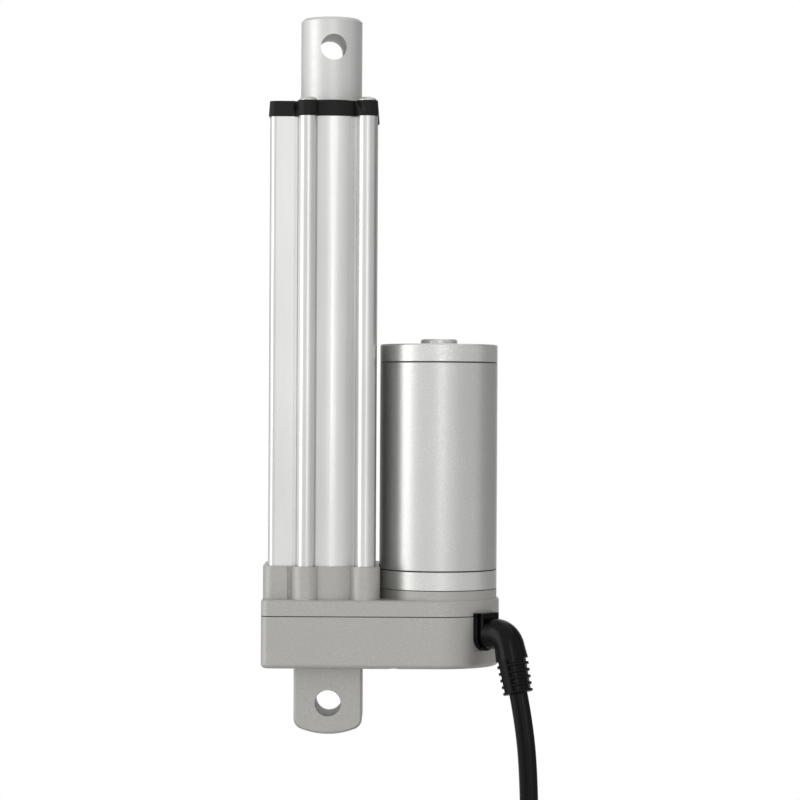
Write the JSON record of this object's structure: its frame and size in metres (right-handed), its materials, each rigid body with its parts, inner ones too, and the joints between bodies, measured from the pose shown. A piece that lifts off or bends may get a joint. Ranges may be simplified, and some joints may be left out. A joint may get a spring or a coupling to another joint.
{
  "type": "electric linear actuator",
  "caption": "Electric linear actuator: a parallel motor drives a lead screw through a gearbox and slides a round rod out of an extruded tube, with a pin hole at each end.",
  "frame": {"origin": "centre of the rear pin hole", "axes": "+Z along the rod as it extends, +X from the rod towards the motor, +Y along the rear pin, away from the cable side"},
  "size_m": [0.0904, 0.0487, 0.3877],
  "materials": {
    "tube_aluminium": "clear anodised extrusion, satin",
    "rod_aluminium": "fine turned and anodised, satin",
    "cast_housing": "die cast, warm grey metallic paint",
    "motor_paint": "silver paint, satin",
    "motor_cast": "silver paint, slightly grainy",
    "black_plastic": "moulded, satin black",
    "black_rubber": "moulded, matt black",
    "black_pvc": "soft PVC, satin black",
    "gasket": "pressed sheet, dark grey",
    "white_acetal": "natural acetal",
    "zinc_steel": "zinc plated",
    "ground_steel": "ground steel",
    "bronze": "sintered bronze",
    "copper": "turned copper",
    "tinned_copper": "tinned copper strands",
    "magnet_ferrite": "sintered ferrite, dark grey",
    "brown_card": "phenolic sheet",
    "carbon": "carbon",
    "armature_steel": "laminated steel with lacquered windings",
    "green_board": "glass fibre circuit board"
  },
  "bodies": {
    "housing": {"outer_tube": "tube_aluminium", "lower_housing": "cast_housing", "upper_housing": "cast_housing", "housing_gasket": "gasket", "tube_gasket": "gasket", "front_cap": "black_plastic", "cap_gasket": "gasket", "rod_wiper": "black_rubber", "guide_bush": "white_acetal", "cap_screws": "zinc_steel", "tube_screws": "zinc_steel", "motor_screws": "zinc_steel", "cover_screws": "zinc_steel", "motor_bell": "motor_cast", "motor_can": "motor_paint", "motor_cap": "motor_cast", "motor_bushes": "bronze", "magnets": "magnet_ferrite", "brush_card": "brown_card", "brushes": "carbon", "idler_axle": "ground_steel", "bearing_outer_race": "ground_steel", "lower_bush": "bronze", "switch_board": "green_board", "lower_limit_switch": "black_plastic", "upper_limit_switch": "black_plastic", "cable_gland": "black_pvc", "elbow_boot": "black_pvc", "lead": "black_pvc", "lead_hank": "black_pvc", "hank_tie": "black_pvc", "wire_ends": "tinned_copper"},
    "rotor": {"motor_shaft": "ground_steel", "armature": "armature_steel", "commutator": "copper", "motor_pinion": "ground_steel"},
    "idler": {"idler_gear": "white_acetal"},
    "screw": {"lead_screw": "ground_steel", "output_gear": "white_acetal", "gear_spacer": "ground_steel", "bearing_inner_race": "ground_steel", "screw_tip_guide": "white_acetal"},
    "ball_ring": {"bearing_balls": "ground_steel"},
    "rod": {"rod_tube": "rod_aluminium", "rod_end_plug": "rod_aluminium", "drive_nut": "white_acetal", "nut_pins": "ground_steel"},
    "lower_plunger_body": {"lower_plunger": "white_acetal"},
    "upper_plunger_body": {"upper_plunger": "white_acetal"}
  },
  "joints": [
    {"name": "motor_spin", "type": "hinge", "parent": "housing", "child": "rotor", "pos_m": [0.0356, 0, 0.06], "axis": [0, 0, -1], "range_deg": [0, 87000]},
    {"name": "idler_spin", "type": "hinge", "parent": "housing", "child": "idler", "pos_m": [0.0192, 0, 0.02], "axis": [0, 0, -1], "range_deg": [-36000.05, 0.05]},
    {"name": "screw_spin", "type": "hinge", "parent": "housing", "child": "screw", "pos_m": [0, 0, 0.03], "axis": [0, 0, -1], "range_deg": [-0.05, 12000.05]},
    {"name": "ball_ring_spin", "type": "hinge", "parent": "housing", "child": "ball_ring", "pos_m": [0, 0, 0.0327], "axis": [0, 0, -1], "range_deg": [-0.05, 4480.05]},
    {"name": "rod_slide", "type": "slide", "parent": "housing", "child": "rod", "axis": [0, 0, 1], "range_m": [0, 0.1]},
    {"name": "lower_switch_press", "type": "slide", "parent": "housing", "child": "lower_plunger_body", "axis": [-1, 0, 0], "range_m": [0, 0.0004], "stiffness_N_per_m": 200},
    {"name": "upper_switch_press", "type": "slide", "parent": "housing", "child": "upper_plunger_body", "axis": [-1, 0, 0], "range_m": [0, 0.0004], "stiffness_N_per_m": 200}
  ],
  "couplings": [
    {"joint": "idler_spin", "follows": "motor_spin", "ratio": -0.41379},
    {"joint": "screw_spin", "follows": "motor_spin", "ratio": 0.13793},
    {"joint": "ball_ring_spin", "follows": "motor_spin", "ratio": 0.051494},
    {"joint": "rod_slide", "follows": "motor_spin", "m_per_rad": 0.000065857}
  ]
}
